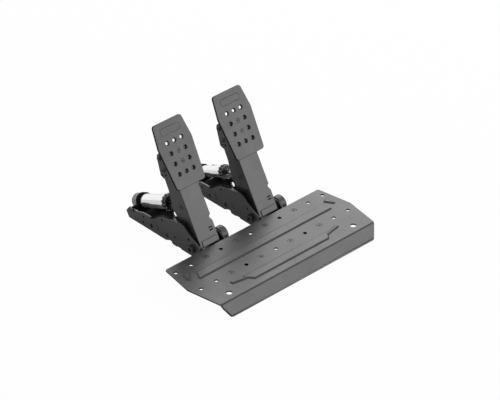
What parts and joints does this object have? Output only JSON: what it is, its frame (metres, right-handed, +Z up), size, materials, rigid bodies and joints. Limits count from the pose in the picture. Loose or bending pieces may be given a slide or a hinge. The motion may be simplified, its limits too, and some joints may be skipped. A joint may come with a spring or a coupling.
{
  "type": "sim racing pedal set",
  "caption": "Driving-simulator pedal set: hinged brake and throttle arms with drilled faces, spring struts and angle sensors on sheet-metal channels, joined by a folded heel plate.",
  "frame": {"origin": "on the floor, in the middle of the set's length and width", "axes": "+X to the driver's right, +Y to the rear of the set (away from the driver), +Z up"},
  "size_m": [0.3886, 0.3616, 0.2243],
  "materials": {
    "coated_steel": "satin powder coat",
    "black_zinc": "dark zinc plating",
    "cap_alloy": "dark anodised",
    "black_alloy": "black anodised",
    "chrome_tube": "polished hard chrome",
    "ground_steel": "ground",
    "bush_polymer": "plain bearing polymer",
    "sensor_plastic": "fine matt",
    "piston_plastic": "plain",
    "circuit_board": "solder mask",
    "stop_rubber": "plain"
  },
  "bodies": {
    "base": {"heel_plate": "coated_steel", "heel_plate_screws": "black_zinc", "heel_plate_nuts": "black_zinc", "brake_base_channel": "coated_steel", "brake_pivot_bushes": "bush_polymer", "brake_sensor_housing": "sensor_plastic", "brake_sensor_cover": "sensor_plastic", "brake_sensor_board": "circuit_board", "brake_sensor_screws": "black_zinc", "brake_cable_socket": "sensor_plastic", "throttle_base_channel": "coated_steel", "throttle_pivot_bushes": "bush_polymer", "throttle_sensor_housing": "sensor_plastic", "throttle_sensor_cover": "sensor_plastic", "throttle_sensor_board": "circuit_board", "throttle_sensor_screws": "black_zinc", "throttle_cable_socket": "sensor_plastic"},
    "brake_arm": {"brake_pedal_arm": "coated_steel", "brake_pedal_face": "coated_steel", "brake_face_bracket": "coated_steel", "brake_face_screws": "black_zinc", "brake_bracket_screws": "black_zinc", "brake_bracket_nuts": "black_zinc", "brake_pivot_shaft": "black_zinc", "brake_sensor_magnet": "ground_steel", "brake_strut_pin": "black_zinc", "brake_pin_clip": "black_zinc"},
    "brake_barrel": {"brake_strut_tube": "chrome_tube", "brake_trunnion_collar": "black_alloy", "brake_trunnion_bolts": "black_zinc", "brake_rear_cap": "cap_alloy", "brake_front_gland": "black_zinc", "brake_strut_spring": "ground_steel"},
    "brake_ring": {"brake_preload_ring": "black_alloy"},
    "brake_rod": {"brake_strut_rod": "ground_steel", "brake_strut_piston": "piston_plastic", "brake_rod_eye": "black_zinc", "brake_bump_stop": "stop_rubber"},
    "throttle_arm": {"throttle_pedal_arm": "coated_steel", "throttle_pedal_face": "coated_steel", "throttle_face_bracket": "coated_steel", "throttle_face_screws": "black_zinc", "throttle_bracket_screws": "black_zinc", "throttle_bracket_nuts": "black_zinc", "throttle_pivot_shaft": "black_zinc", "throttle_sensor_magnet": "ground_steel", "throttle_strut_pin": "black_zinc", "throttle_pin_clip": "black_zinc"},
    "throttle_barrel": {"throttle_strut_tube": "chrome_tube", "throttle_trunnion_collar": "black_alloy", "throttle_trunnion_bolts": "black_zinc", "throttle_rear_cap": "cap_alloy", "throttle_front_gland": "black_zinc", "throttle_strut_spring": "ground_steel"},
    "throttle_ring": {"throttle_preload_ring": "black_alloy"},
    "throttle_rod": {"throttle_strut_rod": "ground_steel", "throttle_strut_piston": "piston_plastic", "throttle_rod_eye": "black_zinc", "throttle_bump_stop": "stop_rubber"}
  },
  "joints": [
    {"name": "brake_press", "type": "hinge", "parent": "base", "child": "brake_arm", "pos_m": [-0.07, -0.00211, 0.0176], "axis": [-1, 0, 0], "range_deg": [0, 16], "stiffness_Nm_per_rad": 40, "springref_deg": -6.88},
    {"name": "brake_strut_swing", "type": "hinge", "parent": "base", "child": "brake_barrel", "pos_m": [-0.07, 0.15439, 0.022], "axis": [1, 0, 0], "range_deg": [0, 2.52]},
    {"name": "brake_strut_stroke", "type": "slide", "parent": "brake_barrel", "child": "brake_rod", "axis": [0, 0.9113, -0.4117], "range_m": [0, 0.02048], "deforming": ["brake_strut_spring"]},
    {"name": "brake_preload_turn", "type": "hinge", "parent": "brake_barrel", "child": "brake_ring", "pos_m": [-0.07, 0.15661, 0.02692], "axis": [0, 0.9113, -0.4117], "continuous": true},
    {"name": "throttle_press", "type": "hinge", "parent": "base", "child": "throttle_arm", "pos_m": [0.07, -0.00211, 0.0176], "axis": [-1, 0, 0], "range_deg": [0, 20], "stiffness_Nm_per_rad": 15, "springref_deg": -8.59},
    {"name": "throttle_strut_swing", "type": "hinge", "parent": "base", "child": "throttle_barrel", "pos_m": [0.07, 0.15439, 0.022], "axis": [1, 0, 0], "range_deg": [0, 3.57]},
    {"name": "throttle_strut_stroke", "type": "slide", "parent": "throttle_barrel", "child": "throttle_rod", "axis": [0, 0.9113, -0.4117], "range_m": [0, 0.02532], "deforming": ["throttle_strut_spring"]},
    {"name": "throttle_preload_turn", "type": "hinge", "parent": "throttle_barrel", "child": "throttle_ring", "pos_m": [0.07, 0.15661, 0.02692], "axis": [0, 0.9113, -0.4117], "continuous": true}
  ],
  "couplings": [
    {"joint": "brake_strut_swing", "follows": "brake_press", "ratio": 0.14484},
    {"joint": "brake_strut_stroke", "follows": "brake_press", "m_per_rad": 0.072616},
    {"joint": "throttle_strut_swing", "follows": "throttle_press", "ratio": 0.16829},
    {"joint": "throttle_strut_stroke", "follows": "throttle_press", "m_per_rad": 0.071951}
  ]
}
